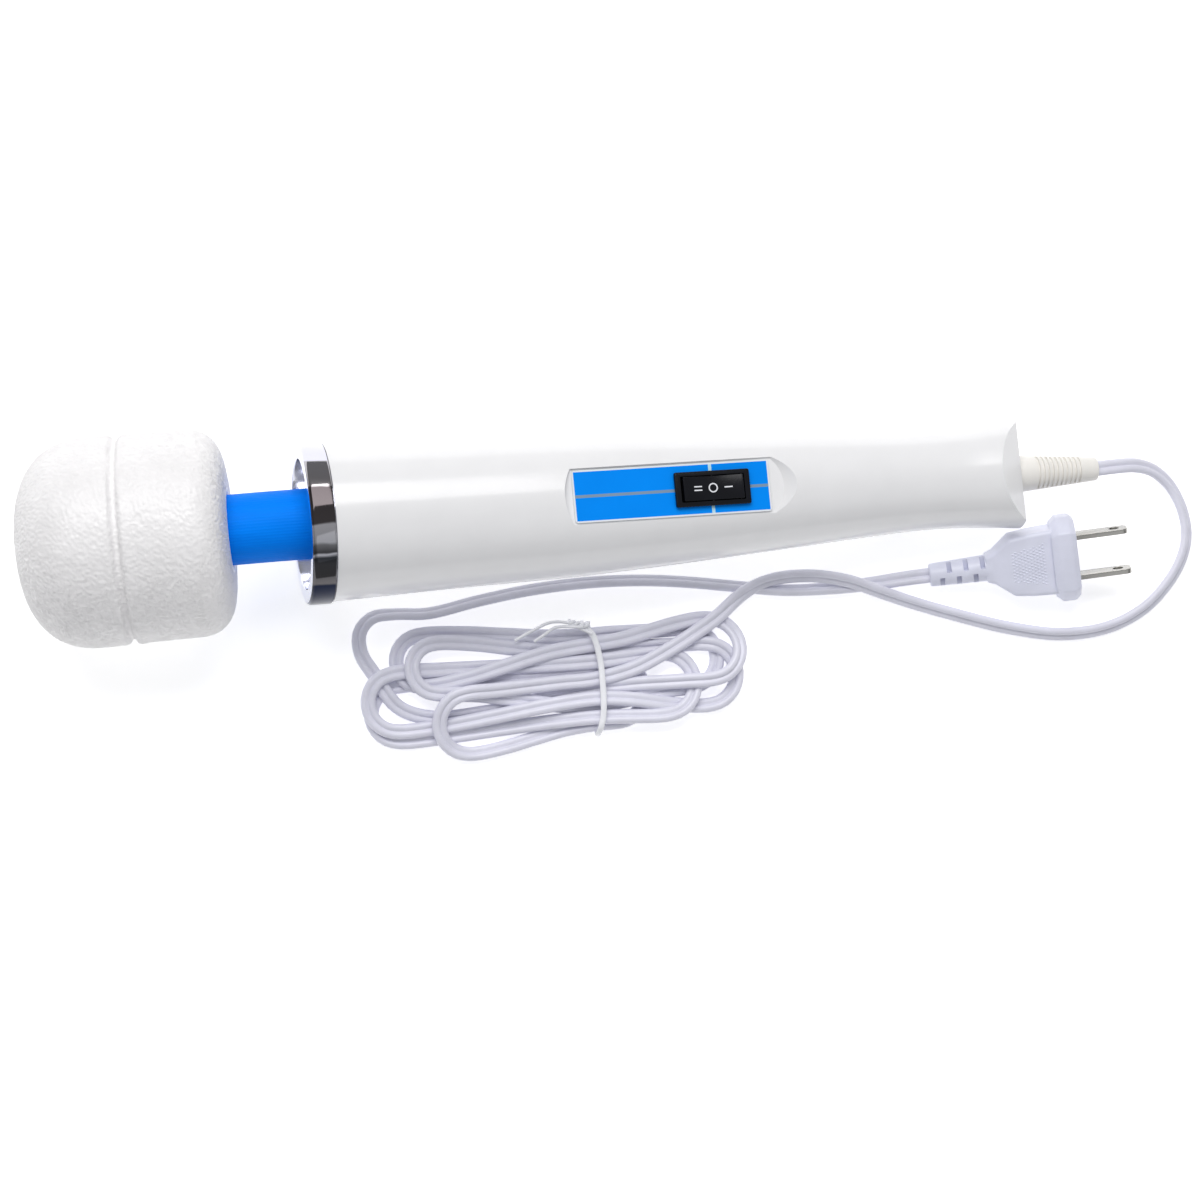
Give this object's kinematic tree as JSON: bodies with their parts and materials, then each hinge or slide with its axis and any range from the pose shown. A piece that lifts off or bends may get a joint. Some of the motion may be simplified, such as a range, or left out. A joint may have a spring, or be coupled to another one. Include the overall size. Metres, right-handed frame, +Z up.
{
  "type": "handheld wand massager",
  "caption": "Corded wand massager: soft round head on a flexible blue neck, chrome collar, tapered white handle with rocker switch, cord and mains plug.",
  "frame": {"origin": "on the table under the middle of the wand, its cord left out", "axes": "+X from the head to the cord end, +Z up out of the switch panel, +Y to the far side of the cord"},
  "size_m": [0.3643, 0.1035, 0.0651],
  "materials": {
    "casing": "high gloss moulded ABS",
    "cushion": "soft pebbled vinyl",
    "blue_sleeve": "satin moulded vinyl",
    "chrome": "mirror plated",
    "label": "printed film plate",
    "black_switch": "glossy black nylon",
    "steel": "bright drawn steel",
    "copper": "enamelled winding wire and copper bars",
    "brass": "turned brass",
    "inner_plastic": "glass-filled nylon",
    "rubber_black": "soft black rubber",
    "carbon": "pressed carbon and black epoxy",
    "board": "green circuit laminate",
    "relief": "warm white soft vinyl",
    "cord": "satin lavender-white vinyl",
    "plug": "satin moulded vinyl",
    "blades": "nickel plated"
  },
  "bodies": {
    "housing": {"casing_top": "casing", "casing_bottom": "casing", "casing_screw_1": "steel", "casing_screw_2": "steel", "casing_screw_3": "steel", "casing_screw_4": "steel", "chrome_collar": "chrome", "neck_holder": "inner_plastic", "label_plate": "label", "switch_body": "black_switch", "switch_terminals": "brass", "stator_core": "steel", "field_coil_1": "copper", "field_coil_2": "copper", "motor_mount_front": "rubber_black", "motor_mount_rear": "rubber_black", "end_bracket_front": "inner_plastic", "end_bracket_rear": "inner_plastic", "motor_bearing_front": "steel", "motor_bearing_rear": "steel", "brush_holder_1": "brass", "carbon_brush_1": "carbon", "brush_holder_2": "brass", "carbon_brush_2": "carbon", "speed_board": "board", "speed_diode": "carbon", "noise_capacitor": "inner_plastic", "inner_cord": "cord", "cord_clamp": "inner_plastic", "clamp_screw_1": "steel", "clamp_screw_2": "steel", "supply_lead": "rubber_black", "motor_lead_1": "rubber_black", "motor_lead_2": "rubber_black", "strain_relief": "relief", "plug_body": "plug", "plug_blade_1": "blades", "plug_blade_2": "blades", "cord_lead": "cord", "cord_tail": "cord", "cord_hank": "cord", "cord_tie": "cord"},
    "switch_rocker": {"rocker": "black_switch"},
    "rotor": {"motor_shaft": "steel", "armature_core": "steel", "armature_winding": "copper", "commutator": "copper", "cooling_fan": "inner_plastic", "drive_coupling": "brass"},
    "neck_mid": {"neck_sleeve": "blue_sleeve", "neck_spring": "steel", "flex_shaft": "steel"},
    "head": {"head_cushion": "cushion", "head_core_rear": "inner_plastic", "head_core_front": "inner_plastic", "head_bearing_rear": "steel", "head_bearing_front": "steel"},
    "eccentric": {"eccentric_shaft": "steel", "eccentric_weight": "brass"}
  },
  "joints": [
    {"name": "rocker_tilt", "type": "hinge", "parent": "housing", "child": "switch_rocker", "pos_m": [0.04181, 0, 0.04302], "axis": [0, 1, 0], "range_deg": [-10, 10]},
    {"name": "neck_pitch", "type": "hinge", "parent": "housing", "child": "neck_mid", "pos_m": [-0.08684, 0, 0.0357], "axis": [0, 1, 0], "range_deg": [-15, 15], "stiffness_Nm_per_rad": 6, "deforming": ["neck_sleeve", "neck_spring", "flex_shaft"]},
    {"name": "neck_yaw", "type": "hinge", "parent": "neck_mid", "child": "head", "pos_m": [-0.09734, 0, 0.03566], "axis": [-0.0489, 0, 0.9988], "range_deg": [-15, 15], "stiffness_Nm_per_rad": 6, "deforming": ["neck_sleeve", "neck_spring", "flex_shaft"]},
    {"name": "motor_spin", "type": "hinge", "parent": "housing", "child": "rotor", "pos_m": [-0.03179, 0, 0.031], "axis": [0.9962, 0, -0.0872], "continuous": true},
    {"name": "eccentric_spin", "type": "hinge", "parent": "head", "child": "eccentric", "pos_m": [-0.13742, 0, 0.03199], "axis": [0.9956, 0, 0.0941], "continuous": true}
  ],
  "couplings": [
    {"joint": "eccentric_spin", "follows": "motor_spin", "ratio": 1}
  ]
}
